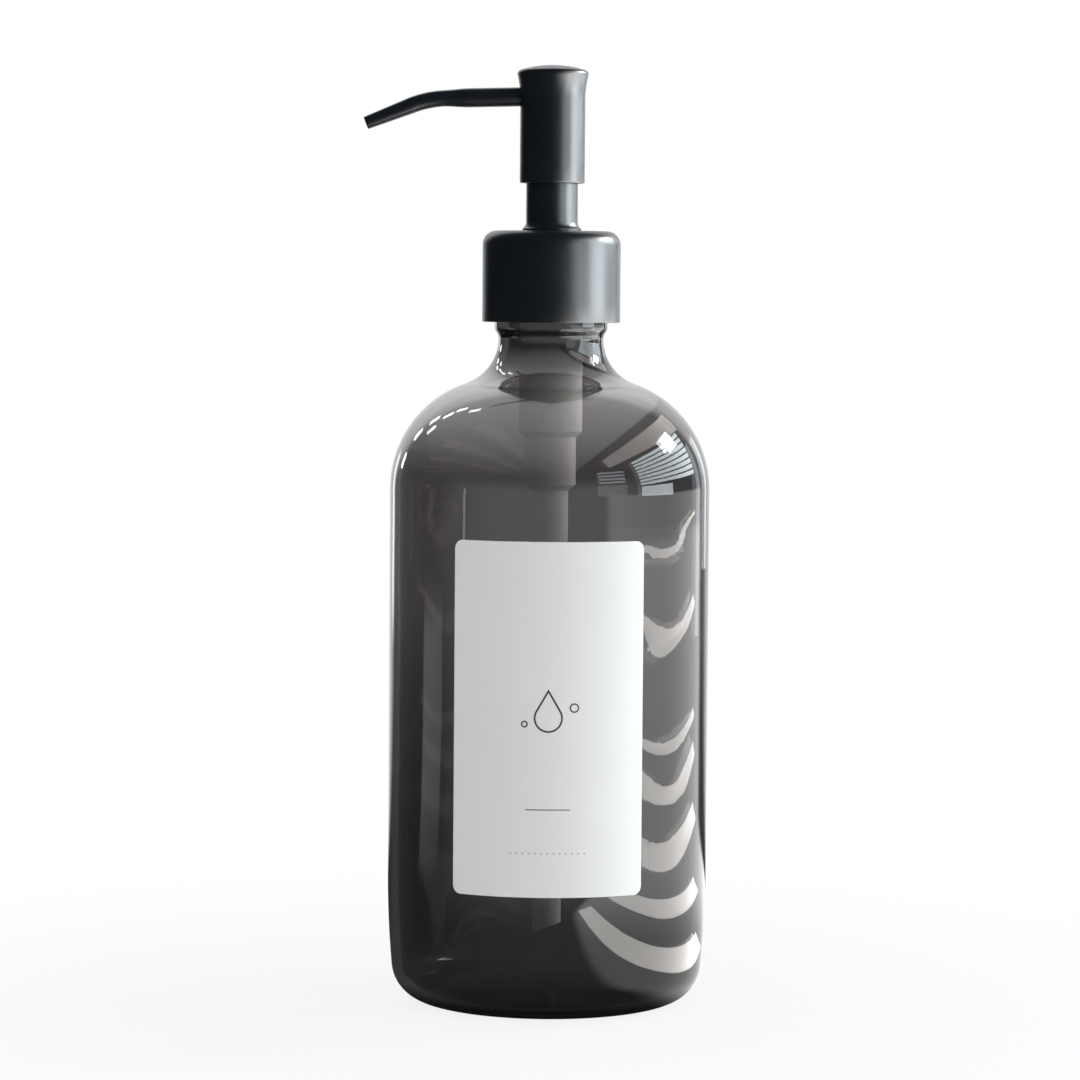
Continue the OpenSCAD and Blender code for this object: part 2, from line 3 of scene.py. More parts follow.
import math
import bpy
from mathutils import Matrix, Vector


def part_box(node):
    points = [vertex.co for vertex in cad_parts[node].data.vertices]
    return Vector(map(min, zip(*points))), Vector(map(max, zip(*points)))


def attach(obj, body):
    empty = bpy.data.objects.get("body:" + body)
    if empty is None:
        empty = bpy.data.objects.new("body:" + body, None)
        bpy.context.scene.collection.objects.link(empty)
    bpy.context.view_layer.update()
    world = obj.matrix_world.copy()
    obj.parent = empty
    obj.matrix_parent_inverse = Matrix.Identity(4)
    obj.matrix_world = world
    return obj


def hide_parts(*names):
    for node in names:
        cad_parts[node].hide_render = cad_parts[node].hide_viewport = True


bl_info = {
    "name": "Glass Soap Dispenser",
    "version": (1, 0, 0),
    "blender": (4, 5, 0),
    "location": "View3D > Sidebar > Dispenser",
    "description": "A smoke glass bottle with a label and a satin black lotion pump",
    "category": "Add Mesh",
}

import bmesh
import bpy
from bpy.props import FloatProperty, FloatVectorProperty, IntProperty, PointerProperty
from mathutils import Matrix, Vector

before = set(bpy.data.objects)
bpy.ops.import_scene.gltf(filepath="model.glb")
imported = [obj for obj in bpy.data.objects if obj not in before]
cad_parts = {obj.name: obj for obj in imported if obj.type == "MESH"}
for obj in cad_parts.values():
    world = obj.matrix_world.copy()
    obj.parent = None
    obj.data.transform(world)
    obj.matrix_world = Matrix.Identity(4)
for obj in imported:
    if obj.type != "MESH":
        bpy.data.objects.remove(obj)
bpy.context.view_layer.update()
MM = 0.001


def length(name, description, millimetres):
    """A size that the user can change, given here in millimetres."""
    return FloatProperty(
        name=name, description=description, default=millimetres * MM, min=0.0, unit="LENGTH", precision=5
    )


def tint(name, description, colour):
    """A colour that the user can change."""
    return FloatVectorProperty(
        name=name, description=description, default=colour, size=3, min=0.0, max=1.0, subtype="COLOR"
    )


class BottleSizes(bpy.types.PropertyGroup):
    """Section of the glass bottle."""

    body: length("Body radius", "Radius of the straight wall", 37.5)
    wall: length("Wall", "Thickness of the glass", 2.4)
    shoulder_height: length("Shoulder height", "Height at which the shoulder starts", 120.7)
    shoulder: length("Shoulder radius", "Radius of the shoulder in section", 26)
    hollow: length("Neck hollow", "Radius of the hollow between shoulder and neck", 11.3)
    neck: length("Neck radius", "Radius of the neck", 12.275)
    neck_length: length("Neck length", "Height from the end of the hollow to the lip", 18.5)
    bead: length("Bead radius", "Radius of the bead under the thread", 13.25)
    bead_rise: length("Bead rise", "Height of the slope from the neck to the bead", 2.4)
    bead_height: length("Bead height", "Height of the bead's full radius", 2.4)
    finish: length("Finish radius", "Radius of the plain wall behind the thread", 12.6)
    thread: length("Thread radius", "Radius over the thread", 13.6)
    thread_pitch: length("Thread pitch", "Rise of the thread in one turn", 4.23)
    thread_width: length("Thread width", "Width of the thread at its foot", 2.6)
    heel: length("Heel radius", "Radius of the heel in section", 9)
    draw: length("Draw", "How far the wall draws in above the heel", 1)
    draw_height: length("Draw height", "Height at which the wall starts to draw in", 30)
    ring: length("Standing ring", "Width of the flat ring under the bottle", 2.5)
    push_up: length("Push-up", "Rise of the hollow under the base", 3)
    floor: length("Floor", "Thickness of the glass floor", 4)
    tint: tint("Tint", "Share of light that each wall passes at mid height", (0.29, 0.275, 0.28))
    low_tint: tint("Low tint", "Share of light that each wall passes at the heel", (0.2, 0.195, 0.2))
    top_tint: tint("Top tint", "Share of light that each wall passes on the shoulder", (0.52, 0.505, 0.5))
    # The neck's darker tint is painted shade: it stands in for the shade that the cap casts on the pump
    # inside.
    neck_tint_with_painted_shade: tint("Neck tint", "Share of light that each wall passes at the neck", (0.14, 0.135, 0.14))
    soak_tint: tint("Soak colour", "Colour that deep glass turns towards", (0.06, 0.04, 0.05))
    soak: FloatProperty(name="Soak", description="How fast light fades in the glass, per metre", default=50)
    shadow_tint: tint("Lamp light", "Share of lamp light that each face passes", (0.97, 0.96, 0.96))


class LabelSizes(bpy.types.PropertyGroup):
    """The label and its print."""

    width: length("Width", "Width around the bottle", 45.6)
    height: length("Height", "Height of the label", 81)
    lift: length("Lift", "Height of the lower edge above the base", 29.5)
    corner: length("Corner", "Radius of the corners", 2)
    thickness: length("Thickness", "Thickness of the stock", 0.11)
    glue: length("Glue", "Gap between the glass and the stock", 0.02)
    drop_height: length("Drop height", "Height of the printed drop's middle above the base", 70.5)
    drop: length("Drop radius", "Radius of the printed drop", 3.1)
    rule_height: length("Rule height", "Height of the printed rule above the base", 49.6)
    rule: length("Rule length", "Length of the printed rule", 10.2)
    dots_height: length("Dots height", "Height of the row of dots above the base", 39.6)
    dots: length("Dots length", "Length of the row of dots", 16.8)
    stroke: length("Stroke", "Width of the printed lines", 0.42)
    stock: tint("Stock", "Colour of the label", (0.8, 0.805, 0.8))
    ink: tint("Ink", "Colour of the print", (0.03, 0.032, 0.035))


class PumpSizes(bpy.types.PropertyGroup):
    """The pump's metal covers."""

    cap: length("Cap radius", "Outside radius of the cap", 16.15)
    cap_corner: length("Cap corner", "Radius of the cap's top edge", 3.2)
    cap_wall: length("Cap wall", "Thickness of the cap's metal", 0.8)
    cap_hole: length("Cap hole", "Radius of the hole in the cap's top", 5.65)
    sleeve: length("Sleeve radius", "Outside radius of the sleeve", 6.05)
    sleeve_bore: length("Sleeve bore", "Bore radius of the sleeve", 5.48)
    foot: length("Foot radius", "Radius of the sleeve's foot", 6.9)
    foot_height: length("Foot height", "Height of the foot's curve", 2.1)
    head: length("Head radius", "Radius of the head's straight wall", 7.6)
    head_bore: length("Head bore", "Bore radius of the head", 6.9)
    rim: length("Rim radius", "Radius of the head's rim", 8.3)
    rim_edge: length("Rim edge", "Radius of the rim's edge in section", 1)
    head_straight: length("Straight wall", "Height of the head's straight wall", 20.3)
    flare: length("Flare", "Height of the flare up to the rim", 5.1)
    crown: length("Crown", "Height of the crown above the rim's widest place", 2.1)
    core_cover: length("Cover", "Thickness of metal over the head's core", 2.3)
    metal: tint("Metal", "Colour of the satin coat", (0.0008, 0.004, 0.009))


class SpoutSizes(bpy.types.PropertyGroup):
    """The spout."""

    height: length("Height", "Height of the spout's axis above the head's lower edge", 20.25)
    start: length("Start", "Distance from the axis at which the tube starts", 4.2)
    run: length("Run", "Length of the straight run before it narrows", 20.6)
    narrowing: length("Narrowing", "Length over which it narrows", 4)
    bend_radius: length("Bend radius", "Radius of the bend", 24.5)
    end: length("End", "Length of the tapered end", 11.5)
    radius: length("Radius", "Outside radius at the head", 2.3)
    bend_tube: length("Radius in the bend", "Outside radius in the bend", 1.975)
    tip: length("Tip radius", "Outside radius at the tip", 1.525)
    wall: length("Wall", "Thickness of the tube", 0.6)
    tilt: FloatProperty(
        name="Tilt", description="Slope of the straight run", default=math.radians(1.5), unit="ROTATION"
    )
    bend: FloatProperty(
        name="Bend", description="Angle of the bend", default=math.radians(20), unit="ROTATION"
    )


class StageSizes(bpy.types.PropertyGroup):
    """Camera, and the faces round turned pieces."""

    distance: length("Distance", "Level distance from the camera to the axis", 957.7)
    height: length("Height", "Height of the camera", 170.3)
    side: length("Side", "How far the camera stands left of the axis", 2.2)
    pitch: FloatProperty(
        name="Pitch", description="Downward tilt of the camera", default=math.radians(3.69), unit="ROTATION"
    )
    roll: FloatProperty(
        name="Roll", description="Roll of the camera", default=math.radians(0.45), unit="ROTATION"
    )
    lens: FloatProperty(name="Lens", description="Focal length in millimetres", default=136.1, min=1.0)
    steps: IntProperty(name="Steps", description="Faces round a turned piece", default=128, min=24, max=256)


SETTINGS = {
    "dispenser_bottle": BottleSizes,
    "dispenser_label": LabelSizes,
    "dispenser_pump": PumpSizes,
    "dispenser_spout": SpoutSizes,
    "dispenser_stage": StageSizes,
}


# Modelling tools


def clear_selection():
    """Leaves edit mode and deselects everything."""
    if bpy.context.mode != "OBJECT":
        bpy.ops.object.mode_set(mode="OBJECT")
    bpy.ops.object.select_all(action="DESELECT")


def apply_place(obj):
    """Moves an object's place, turn and scale into its mesh."""
    clear_selection()
    obj.select_set(True)
    bpy.context.view_layer.objects.active = obj
    bpy.ops.object.transform_apply(location=True, rotation=True, scale=True)


def smooth(obj, angle=math.radians(32)):
    """Smooth shading that keeps edges sharper than the angle."""
    clear_selection()
    obj.select_set(True)
    bpy.context.view_layer.objects.active = obj
    bpy.ops.object.shade_smooth_by_angle(angle=angle)


def arc(centre, radius, start, end, steps):
    """Points of a half section along a round, from one angle in degrees to another."""
    turns = [math.radians(start + (end - start) * i / steps) for i in range(steps + 1)]
    return [(centre[0] + radius * math.cos(a), centre[1] + radius * math.sin(a)) for a in turns]


def line(start, end, steps):
    """Points of a half section along a straight, without its two ends."""
    shares = [i / steps for i in range(1, steps)]
    return [tuple(a + (b - a) * t for a, b in zip(start, end)) for t in shares]


def turned(name, profile, loop=True):
    """Draws a half section point by point and spins it about the bottle's axis into a closed solid."""
    steps = bpy.context.scene.dispenser_stage.steps
    clear_selection()
    bpy.ops.mesh.primitive_plane_add(size=MM, location=(profile[0][0], 0, profile[0][1]))
    obj = bpy.context.object
    obj.name = name
    apply_place(obj)
    bpy.ops.object.mode_set(mode="EDIT")
    bpy.ops.mesh.select_mode(type="VERT")
    bpy.ops.mesh.select_all(action="SELECT")
    bpy.ops.mesh.merge(type="CENTER")
    for before, after in zip(profile, profile[1:]):
        step = (after[0] - before[0], 0, after[1] - before[1])
        bpy.ops.mesh.extrude_region_move(TRANSFORM_OT_translate={"value": step})
    if loop:
        shape = bmesh.from_edit_mesh(obj.data)
        for vert in shape.verts:
            vert.select_set(len(vert.link_edges) == 1)
        shape.select_flush(True)
        bmesh.update_edit_mesh(obj.data)
        bpy.ops.mesh.edge_face_add()
    bpy.ops.mesh.select_all(action="SELECT")
    bpy.ops.mesh.spin(steps=steps, angle=math.tau, center=(0, 0, 0), axis=(0, 0, 1))
    bpy.ops.mesh.select_all(action="SELECT")
    bpy.ops.mesh.remove_doubles(threshold=MM / 500)
    bpy.ops.mesh.normals_make_consistent(inside=False)
    bpy.ops.object.mode_set(mode="OBJECT")
    smooth(obj)
    return obj


def place(obj, body, slot, *nodes):
    """Rides a piece on its body and lets it stand for its CAD nodes; the finish it is given is not used."""
    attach(obj, body)
    if nodes:
        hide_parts(*nodes)
    return obj


# Shading tools


class Wire:
    """A node's output that can be used in arithmetic, where each step adds a Math node."""

    def __init__(self, board, socket):
        self.board = board
        self.socket = socket

    def math(self, operation, *others):
        inputs = dict(enumerate((self,) + others))
        return self.board.add("ShaderNodeMath", {"operation": operation}, inputs)

    def __add__(self, other):
        return self.math("ADD", other)

    def __radd__(self, other):
        return self.math("ADD", other)

    def __sub__(self, other):
        return self.math("SUBTRACT", other)

    def __rsub__(self, other):
        return self.board.add("ShaderNodeMath", {"operation": "SUBTRACT"}, {0: other, 1: self})

    def __mul__(self, other):
        return self.math("MULTIPLY", other)

    def __rmul__(self, other):
        return self.math("MULTIPLY", other)

    def __truediv__(self, other):
        return self.math("DIVIDE", other)

    def __abs__(self):
        return self.math("ABSOLUTE")

    def __pow__(self, other):
        return self.math("POWER", other)

    def least(self, other):
        return self.math("MINIMUM", other)

    def most(self, other):
        return self.math("MAXIMUM", other)

    def edge(self, low, high):
        """Rises smoothly from 0 at low to 1 at high."""
        settings = {"interpolation_type": "SMOOTHSTEP"}
        return self.board.add(
            "ShaderNodeMapRange", settings, {"Value": self, "From Min": low, "From Max": high}
        )


class Board:
    """The nodes of a material or of the world, with its shader and its output."""

    def __init__(self, owner):
        owner.use_nodes = True
        self.owner = owner
        self.nodes = owner.node_tree.nodes
        self.links = owner.node_tree.links
        self.output = next(n for n in self.nodes if n.type.startswith("OUTPUT"))
        self.shader = self.output.inputs[0].links[0].from_node

    def add(self, kind, settings=None, inputs=None, output=0):
        """Adds a node, with its settings first, then the values or links of its sockets."""
        node = self.nodes.new(kind)
        for key, value in (settings or {}).items():
            setattr(node, key, value)
        for key, value in (inputs or {}).items():
            self.feed(node.inputs[key], value)
        return Wire(self, node.outputs[output])

    def feed(self, socket, value):
        if isinstance(value, Wire):
            self.links.new(value.socket, socket)
        else:
            socket.default_value = value

    def finish(self, **values):
        """Sets the shader's sockets, named with underscores for spaces."""
        for key, value in values.items():
            self.feed(self.shader.inputs[key.replace("_", " ")], value)
        return self.owner

    def place(self):
        """The point in the object's own coordinates, in metres."""
        return self.add("ShaderNodeTexCoord", output="Object")

    def split(self, vector):
        """The three parts of a vector."""
        first = self.add("ShaderNodeSeparateXYZ", inputs={0: vector})
        node = first.socket.node
        return [Wire(self, node.outputs[i]) for i in range(3)]

    def noise(self, vector, size, detail=2.0, roughness=0.5):
        """Noise whose largest features measure about the given size in metres."""
        inputs = {"Vector": vector, "Scale": 1 / size, "Detail": detail, "Roughness": roughness}
        return self.add("ShaderNodeTexNoise", inputs=inputs)

    def blend(self, factor, first, second):
        """Mixes two colours."""
        settings = {"data_type": "RGBA"}
        inputs = {0: factor, 6: first, 7: second}
        return self.add("ShaderNodeMix", settings, inputs, output=2)

    def bump(self, height, depth, normal=None):
        """A bump whose height of 1 stands for the given depth in metres, over a given bump if any."""
        inputs = {"Height": height, "Distance": depth}
        if normal:
            inputs["Normal"] = normal
        return self.add("ShaderNodeBump", inputs=inputs)


def rgba(colour):
    return (colour[0], colour[1], colour[2], 1.0)


def smoke_glass(sizes):
    """Smoke grey blown glass with a slightly rippled skin, darker towards its thick foot and lighter on the
    shoulder; in the neck its darker tint is painted shade.
    """
    board = Board(bpy.data.materials.new("smoke_glass"))
    point = board.place()
    _, _, height = board.split(point)
    shade = rgba(sizes.low_tint)
    # The last step darkens the neck as painted shade of the cap over the pump inside.
    for start, end, colour in (
        (0.01, 0.1, sizes.tint), (0.122, 0.145, sizes.top_tint), (0.1455, 0.15, sizes.neck_tint_with_painted_shade)
    ):
        shade = board.blend(height.edge(start, end), shade, rgba(colour))
    swell = board.noise(point, 0.03, 1.0)
    ripple = board.noise(point, 0.0035, 2.0)
    skin = board.bump(ripple, 0.000003)
    board.finish(
        Base_Color=shade,
        Roughness=0.0,
        IOR=1.5,
        Transmission_Weight=1.0,
        Normal=board.bump(swell, 0.0002, normal=skin),
    )
    soak = board.add(
        "ShaderNodeVolumeAbsorption", inputs={"Color": rgba(sizes.soak_tint), "Density": sizes.soak}
    )
    board.feed(board.output.inputs["Volume"], soak)
    clear = board.add("ShaderNodeBsdfTransparent", inputs={"Color": rgba(sizes.shadow_tint)})
    path = board.add("ShaderNodeLightPath").socket.node
    lamp = Wire(board, path.outputs["Is Shadow Ray"])
    glass = Wire(board, board.shader.outputs[0])
    mixed = board.add("ShaderNodeMixShader", inputs={0: lamp, 1: glass, 2: clear})
    board.feed(board.output.inputs["Surface"], mixed)
    return board.owner


def label_stock(sizes):
    """White film with a fine grain and a plain print: a drop with two bubbles, a rule and a row of dots."""
    board = Board(bpy.data.materials.new("label_stock"))
    point = board.place()
    x, _, z = board.split(point)
    pen = sizes.stroke / 2
    soft = pen / 3

    def stroke(distance, half):
        return 1 - abs(distance).edge(half - soft, half + soft)

    def ring(middle_x, middle_z, radius):
        across = x - middle_x
        up = z - middle_z
        return (across * across + up * up) ** 0.5 - radius

    drop = sizes.drop
    middle = sizes.drop_height
    lean = math.radians(30)
    tip = middle + drop / math.sin(lean)
    flank = abs(x) * math.cos(lean) + (z - tip) * math.sin(lean)
    shoulder = (middle + drop * math.sin(lean)) - z
    outline = ring(0, middle, drop).least(flank.most(shoulder))
    mark = stroke(outline, pen)
    for side, up, size in ((1.9, 0.75, 0.3), (-1.75, -0.45, 0.2)):
        mark = mark.most(stroke(ring(side * drop, middle + up * drop, size * drop), pen * 0.8))
    beyond = abs(x) - sizes.rule / 2
    rule = (1 - beyond.edge(-soft, soft)) * stroke(z - sizes.rule_height, pen * 0.55)
    mark = mark.most(rule)
    gap = sizes.dots / 12
    nearest = x - (x / gap).math("ROUND") * gap
    up = z - sizes.dots_height
    dots = stroke((nearest * nearest + up * up) ** 0.5, pen * 1.1)
    dots = dots * (1 - abs(x).edge(sizes.dots / 2 + pen, sizes.dots / 2 + 2 * pen))
    mark = mark.most(dots * 0.45)
    grain = board.noise(point, 0.0004, 3.0)
    cloud = board.noise(point, 0.03, 2.0)
    shade = board.blend(cloud, rgba(sizes.stock), rgba([c * 0.965 for c in sizes.stock]))
    return board.finish(
        Base_Color=board.blend(mark, shade, rgba(sizes.ink)),
        Roughness=0.42 + 0.1 * grain,
        IOR=1.45,
        Normal=board.bump(grain, 0.000012),
    )


def satin_black(sizes):
    """Near-black powder coat with a fine skin and a slightly uneven sheen."""
    board = Board(bpy.data.materials.new("satin_black"))
    point = board.place()
    skin = board.noise(point, 0.00045, 2.0)
    sheen = board.noise(point, 0.012, 2.0)
    lighter = rgba([c * 1.35 for c in sizes.metal])
    return board.finish(
        Base_Color=board.blend(sheen, rgba(sizes.metal), lighter),
        Roughness=0.26 + 0.05 * sheen + 0.04 * skin,
        IOR=2.2,
        Normal=board.bump(skin, 0.00001),
    )


def moulded(name, colour, roughness=0.34):
    """Moulded plastic with a faint flow pattern."""
    board = Board(bpy.data.materials.new(name))
    point = board.place()
    flow = board.noise(point, 0.006, 3.0)
    fine = board.noise(point, 0.0008, 2.0)
    darker = rgba([c * 0.93 for c in colour])
    return board.finish(
        Base_Color=board.blend(flow, rgba(colour), darker),
        Roughness=roughness + 0.12 * fine,
        IOR=1.5,
        Normal=board.bump(fine, 0.00001),
    )


def foam_seal():
    """Closed-cell foam with small cells."""
    board = Board(bpy.data.materials.new("foam_seal"))
    point = board.place()
    inputs = {"Vector": point, "Scale": 1 / 0.0004}
    cells = board.add("ShaderNodeTexVoronoi", inputs=inputs)
    return board.finish(
        Base_Color=board.blend(cells, rgba((0.72, 0.72, 0.7)), rgba((0.8, 0.8, 0.79))),
        Roughness=0.7 + 0.1 * cells,
        Normal=board.bump(cells, 0.00004),
    )


def drawn_steel():
    """Bright wire and ball steel with fine drawing lines."""
    board = Board(bpy.data.materials.new("drawn_steel"))
    point = board.place()
    streak = board.noise(point, 0.0009, 4.0)
    return board.finish(
        Base_Color=board.blend(streak, rgba((0.55, 0.56, 0.57)), rgba((0.68, 0.69, 0.7))),
        Metallic=1.0,
        Roughness=0.2 + 0.15 * streak,
        Normal=board.bump(streak, 0.000004),
    )


def paint(obj, material):
    """Gives a piece one material on all its faces."""
    obj.data.materials.clear()
    obj.data.materials.append(material)


# Profiles


def glass_profile(size):
    """Half section of the bottle from the hollow under the base, over the lip and down to the inner floor."""
    def shell(inset):
        bend = size.shoulder - inset
        hollow = size.hollow + inset
        centre = (size.body - size.shoulder, size.shoulder_height)
        fillet_x = size.neck + size.hollow
        rise = math.sqrt((size.shoulder + size.hollow) ** 2 - (fillet_x - centre[0]) ** 2)
        fillet = (fillet_x, size.shoulder_height + rise)
        turn = math.degrees(math.atan2(rise, fillet_x - centre[0]))
        return centre, bend, fillet, hollow, turn

    def wall_down_to_heel(inset, top):
        lean = math.atan(2 * size.draw / (size.draw_height - size.heel))
        low = size.heel - (size.heel - inset) * math.sin(lean)
        points = []
        steps = 14
        for i in range(steps + 1):
            z = low + (size.draw_height - low) * i / steps
            share = (size.draw_height - z) / (size.draw_height - low)
            points.append((size.body - inset - size.draw * share ** 2, z))
        heel_x = points[0][0] - (size.heel - inset) * math.cos(lean)
        round_heel = arc((heel_x, size.heel), size.heel - inset, -90, -math.degrees(lean), 20)
        return heel_x, round_heel[:-1] + points + line(points[-1], (points[-1][0], top), 12)

    heel_x, outer = wall_down_to_heel(0, size.shoulder_height)
    ring_x = heel_x - size.ring
    dome = (ring_x ** 2 + size.push_up ** 2) / (2 * size.push_up)
    under = math.degrees(math.asin(ring_x / dome))
    profile = arc((0, size.push_up - dome), dome, 90, 90 - under, 10)
    profile[0] = (0, size.push_up)
    profile += line(profile[-1], (heel_x, 0), 2)
    profile += outer
    centre, bend, fillet, hollow, turn = shell(0)
    profile += arc(centre, bend, 0, turn, 30)[:-1]
    profile += arc(fillet, hollow, turn + 180, 180, 22)
    lip_z = fillet[1] + size.neck_length
    bead_low = fillet[1] + size.bead_rise
    bead_top = bead_low + size.bead_height
    step = size.bead - size.finish
    rise = size.bead - size.neck
    for i in range(1, 9):
        share = i / 8
        ease = share * share * (3 - 2 * share)
        profile.append((size.neck + rise * ease, fillet[1] + size.bead_rise * share))
    profile += line((size.bead, bead_low), (size.bead, bead_top), 3)
    profile += arc((size.bead - step, bead_top), step, 0, 90, 6)[:-1]
    thread_low = bead_top + step
    edge = MM * 0.6
    thread_top = lip_z - edge
    profile += [(size.finish, thread_low)]
    profile += line((size.finish, thread_low), (size.finish, thread_top), 34)
    profile += arc((size.finish - edge, thread_top), edge, 0, 90, 6)
    inner_neck = size.neck - size.wall
    profile += arc((inner_neck + edge, thread_top), edge, 90, 180, 6)
    profile += line((inner_neck, thread_top), (inner_neck, fillet[1]), 10)
    centre, bend, fillet, hollow, turn = shell(size.wall)
    profile += arc(fillet, hollow, 180, turn + 180, 22)[:-1]
    profile += arc(centre, bend, turn, 0, 30)[:-1]
    _, inner = wall_down_to_heel(size.wall, size.shoulder_height)
    floor = dome + size.floor
    low = size.push_up - dome
    inner = [p for p in inner if p[1] > low + math.sqrt(floor ** 2 - p[0] ** 2) + MM * 0.3]
    profile += [(inner[-1][0], size.shoulder_height)] + inner[::-1]
    reach = inner[0][0] - MM * 1.2
    tilt = math.degrees(math.asin(reach / floor))
    profile += arc((0, low), floor, 90 - tilt, 90, 14)
    profile[-1] = (0, low + floor)
    return profile, thread_low, thread_top


def raise_thread(obj, size, low, top):
    """Pulls the finish wall out along a screw line, with the thread running out at both ends."""
    half = size.thread_width / 2
    height = size.thread - size.finish
    flank = 2.2
    fade = half * 0.5
    first = low + half * 1.1
    last = top - half * 1.4
    for vert in obj.data.vertices:
        radius = math.hypot(vert.co.x, vert.co.y)
        if abs(radius - size.finish) > MM * 0.01 or not low < vert.co.z < top:
            continue
        share = math.atan2(vert.co.y, vert.co.x) / math.tau % 1
        best = 0
        for turn in range(-1, 4):
            middle = first + size.thread_pitch * (share + turn)
            if not first <= middle <= last:
                continue
            run_out = min(1, (middle - first) / fade, (last - middle) / fade)
            near = 1 - abs(vert.co.z - middle) / half
            best = max(best, min(1, max(0, near) * flank) * run_out)
        factor = (size.finish + height * best) / radius
        vert.co.x *= factor
        vert.co.y *= factor


class DISPENSER_OT_bottle(bpy.types.Operator):
    """Turn the glass bottle and raise the thread on its neck."""

    bl_idname = "dispenser.bottle"
    bl_label = "Glass bottle"

    def execute(self, context):
        size = context.scene.dispenser_bottle
        profile, low, top = glass_profile(size)
        bottle = turned("glass_bottle", profile, loop=False)
        raise_thread(bottle, size, low, top)
        paint(bottle, smoke_glass(size))
        place(bottle, "bottle", "smoke_glass", "bottle")
        return {"FINISHED"}


class DISPENSER_OT_label(bpy.types.Operator):
    """Cut the label with rounded corners and lay it on the bottle."""

    bl_idname = "dispenser.label"
    bl_label = "Label"

    def execute(self, context):
        size = context.scene.dispenser_label
        radius = context.scene.dispenser_bottle.body + size.glue
        clear_selection()
        bpy.ops.mesh.primitive_plane_add(size=1, location=(0, 0, 0))
        label = context.object
        label.name = "label_sheet"
        label.scale = (size.width, size.height, 1)
        label.rotation_euler = (math.pi / 2, 0, 0)
        label.location = (0, 0, size.lift + size.height / 2)
        apply_place(label)
        bpy.ops.object.mode_set(mode="EDIT")
        bpy.ops.mesh.select_all(action="SELECT")
        bpy.ops.mesh.bevel(affect="VERTICES", offset=size.corner, segments=8)
        strips = 40
        for i in range(1, strips):
            bpy.ops.mesh.select_all(action="SELECT")
            x = size.width * (i / strips - 0.5)
            bpy.ops.mesh.bisect(plane_co=(x, 0, 0), plane_no=(1, 0, 0))
        bpy.ops.object.mode_set(mode="OBJECT")
        for vert in label.data.vertices:
            turn = vert.co.x / radius
            vert.co.x = radius * math.sin(turn)
            vert.co.y = -radius * math.cos(turn)
        thicken = label.modifiers.new("stock", "SOLIDIFY")
        thicken.thickness = size.thickness
        thicken.offset = 1
        bpy.ops.object.modifier_apply(modifier=thicken.name)
        smooth(label)
        paint(label, label_stock(size))
        place(label, "bottle", "label_paper", "label")
        return {"FINISHED"}


class DISPENSER_OT_cap(bpy.types.Operator):
    """Turn the drawn metal cap."""

    bl_idname = "dispenser.cap"
    bl_label = "Metal cap"

    def execute(self, context):
        size = context.scene.dispenser_pump
        low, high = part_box("cap_shell")
        bottom = low.z
        top = high.z
        wall = size.cap_wall
        corner = size.cap_corner
        middle = (size.cap - corner, top - corner)
        edge = MM * 0.25
        profile = [(size.cap_hole, top - wall + edge / 2), (size.cap_hole, top - edge)]
        profile += arc((size.cap_hole + edge, top - edge), edge, 180, 90, 4)[1:]
        profile += arc(middle, corner, 90, 0, 16)
        profile += line(profile[-1], (size.cap, bottom + edge), 4)
        profile += arc((size.cap - edge, bottom + edge), edge, 0, -90, 4)
        profile += arc((size.cap - wall + edge, bottom + edge), edge, -90, -180, 4)
        profile += line(profile[-1], (size.cap - wall, top - corner), 4)
        profile += arc(middle, corner - wall, 0, 90, 12)
        cap = turned("metal_cap", profile)
        paint(cap, satin_black(size))
        place(cap, "closure", "black_metal", "cap_shell")
        return {"FINISHED"}


class DISPENSER_OT_sleeve(bpy.types.Operator):
    """Turn the sleeve with its flared foot."""

    bl_idname = "dispenser.sleeve"
    bl_label = "Neck sleeve"

    def execute(self, context):
        size = context.scene.dispenser_pump
        low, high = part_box("neck_sleeve")
        bottom = low.z
        top = high.z
        curve = MM * 2
        edge = MM * 0.15
        swing = math.degrees(math.acos(1 - (size.foot - size.sleeve) / curve))
        centre = (size.sleeve + curve, bottom + size.foot_height)
        profile = [(size.sleeve_bore, bottom), (size.foot - edge, bottom)]
        profile += arc((size.foot - edge, bottom + edge), edge, -90, 0, 3)[1:]
        profile += arc(centre, curve, 180 + swing, 180, 8)
        profile += line(profile[-1], (size.sleeve, top - edge), 3)
        profile += arc((size.sleeve - edge, top - edge), edge, 0, 90, 3)
        profile += [(size.sleeve_bore, top)]
        sleeve = turned("neck_sleeve_metal", profile)
        paint(sleeve, satin_black(size))
        place(sleeve, "pump_body", "black_metal", "neck_sleeve")
        return {"FINISHED"}


